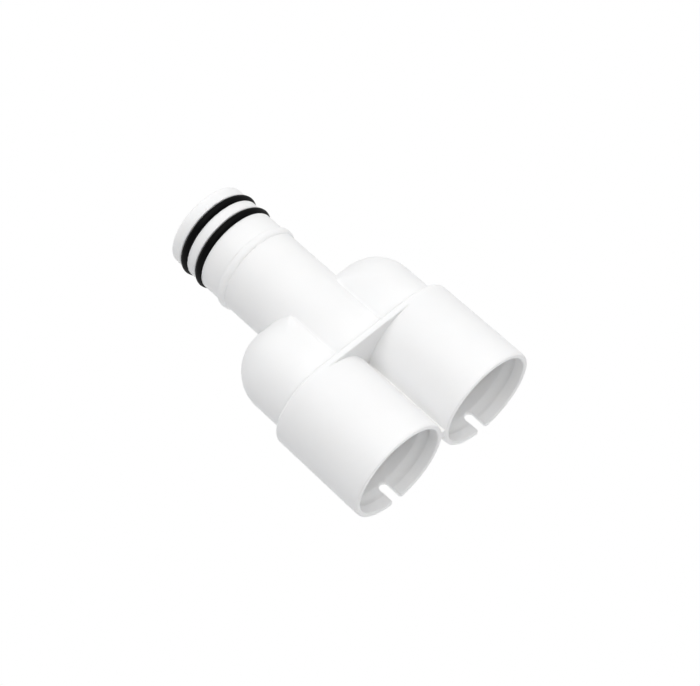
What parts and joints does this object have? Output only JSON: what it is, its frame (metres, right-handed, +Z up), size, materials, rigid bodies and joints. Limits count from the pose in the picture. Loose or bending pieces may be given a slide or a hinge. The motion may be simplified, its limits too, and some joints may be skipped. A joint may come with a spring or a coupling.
{
  "type": "tubing y connector",
  "caption": "One-piece moulded Y fitting with a sealed round spigot at one end and a pair of slotted parallel hose sockets at the other, with black O-rings in the spigot's grooves.",
  "frame": {"origin": "middle of the part's plan, on the surface that it lies on, under the sockets' lowest line", "axes": "+X along the tube axes, from the spigot to the socket mouths; +Y from one socket axis to the other; +Z up, away from the side with the relief slots"},
  "size_m": [0.1202, 0.082, 0.0403],
  "materials": {
    "white_plastic": "satin, as moulded",
    "black_rubber": "smooth, slightly sheeny"
  },
  "bodies": {
    "root": {"y_body": "white_plastic", "o_ring_front": "black_rubber", "o_ring_rear": "black_rubber"}
  },
  "joints": []
}
